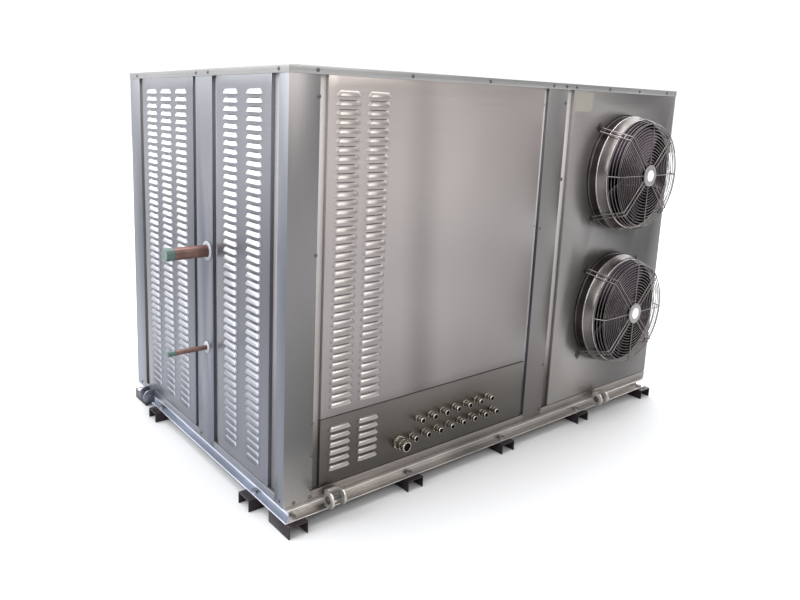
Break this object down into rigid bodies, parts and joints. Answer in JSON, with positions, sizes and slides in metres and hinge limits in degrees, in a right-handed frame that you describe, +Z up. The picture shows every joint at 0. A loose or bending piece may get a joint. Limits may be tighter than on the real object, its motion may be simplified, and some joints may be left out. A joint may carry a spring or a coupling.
{
  "type": "refrigeration condensing unit",
  "caption": "Air-cooled refrigeration condensing unit in a louvred stainless cabinet with guarded axial fans, capped pipe stubs, cable glands and a lifting base.",
  "frame": {"origin": "on the floor under the skid feet, at the middle of the outline of the whole unit, pipe stubs, lugs and fan guards included", "axes": "+X along the long front side from the pipe end to the fan end, +Y from the front with the fans to the rear with the coil, +Z up"},
  "size_m": [2.7526, 1.713, 1.755],
  "materials": {
    "frame_steel": "brushed stainless sheet, satin",
    "panel_steel": "brushed stainless sheet, satin",
    "end_panel_steel": "brushed stainless sheet, light",
    "base_steel": "folded stainless sheet, satin",
    "foot_paint": "dark grey paint, worn at the edges",
    "fastener_steel": "zinc plated",
    "lug_steel": "cut plate, satin",
    "guard_wire": "bright plated wire",
    "drum_steel": "polished sheet",
    "blade_metal": "dull pressed sheet",
    "motor_black": "black paint, half gloss",
    "gland_nickel": "nickel plated",
    "copper": "copper tube with a weathered red-brown skin",
    "cap_green": "moulded, half gloss",
    "seal_ring": "pale sealing compound and ring",
    "mount_rubber": "black rubber",
    "compressor_paint": "dark grey paint on castings",
    "vessel_paint": "black powder coat",
    "coil_fins": "bare fins",
    "box_paint": "light grey powder coat"
  },
  "bodies": {
    "root": {"post_front_left": "frame_steel", "post_front_mid": "frame_steel", "post_front_right": "frame_steel", "post_rear_left": "frame_steel", "post_rear_mid": "frame_steel", "post_rear_right": "frame_steel", "post_left_mid": "frame_steel", "post_right_mid": "frame_steel", "sill_rails": "frame_steel", "top_rails": "frame_steel", "lid": "frame_steel", "bulkhead": "frame_steel", "front_access_panel": "panel_steel", "front_lower_panel": "panel_steel", "fan_panel": "panel_steel", "rear_access_panel": "panel_steel", "left_panel_front": "end_panel_steel", "left_panel_rear": "end_panel_steel", "right_panel_front": "end_panel_steel", "right_panel_rear": "end_panel_steel", "base_rail_front": "base_steel", "base_rail_rear": "base_steel", "base_rail_left": "base_steel", "base_rail_right": "base_steel", "floor_bearers": "base_steel", "floor_pan": "base_steel", "anchor_feet": "foot_paint", "skid_feet": "foot_paint", "foot_bolts": "fastener_steel", "lug_pins": "fastener_steel", "lifting_lugs": "lug_steel", "fan_guards": "guard_wire", "fan_drums": "drum_steel", "fan_motors": "motor_black", "gland_bodies": "gland_nickel", "gland_nuts": "gland_nickel", "pipe_stubs": "copper", "suction_line": "copper", "discharge_line": "copper", "condensate_line": "copper", "liquid_line": "copper", "coil_headers": "copper", "filter_drier": "copper", "pipe_grommets": "seal_ring", "compressor_mounts": "mount_rubber", "compressor_bars": "compressor_paint", "compressor_body": "compressor_paint", "compressor_heads": "compressor_paint", "compressor_valves": "compressor_paint", "suction_accumulator": "vessel_paint", "liquid_receiver": "vessel_paint", "condenser_coil": "coil_fins", "coil_end_plates": "coil_fins", "electrical_box": "box_paint", "electrical_box_door": "box_paint"},
    "upper_rotor": {"fan_upper_rotor": "blade_metal"},
    "lower_rotor": {"fan_lower_rotor": "blade_metal"},
    "suction_cap": {"suction_cap": "cap_green"},
    "liquid_cap": {"liquid_cap": "cap_green"}
  },
  "joints": [
    {"name": "fan_upper_spin", "type": "hinge", "parent": "root", "child": "upper_rotor", "pos_m": [0.86125, -0.6885, 1.322], "axis": [0, 1, 0], "continuous": true},
    {"name": "fan_lower_spin", "type": "hinge", "parent": "root", "child": "lower_rotor", "pos_m": [0.86125, -0.6885, 0.605], "axis": [0, 1, 0], "continuous": true},
    {"name": "suction_cap_pull", "type": "slide", "parent": "root", "child": "suction_cap", "axis": [-1, 0, 0], "range_m": [0, 0.05]},
    {"name": "liquid_cap_pull", "type": "slide", "parent": "root", "child": "liquid_cap", "axis": [-1, 0, 0], "range_m": [0, 0.05]}
  ]
}
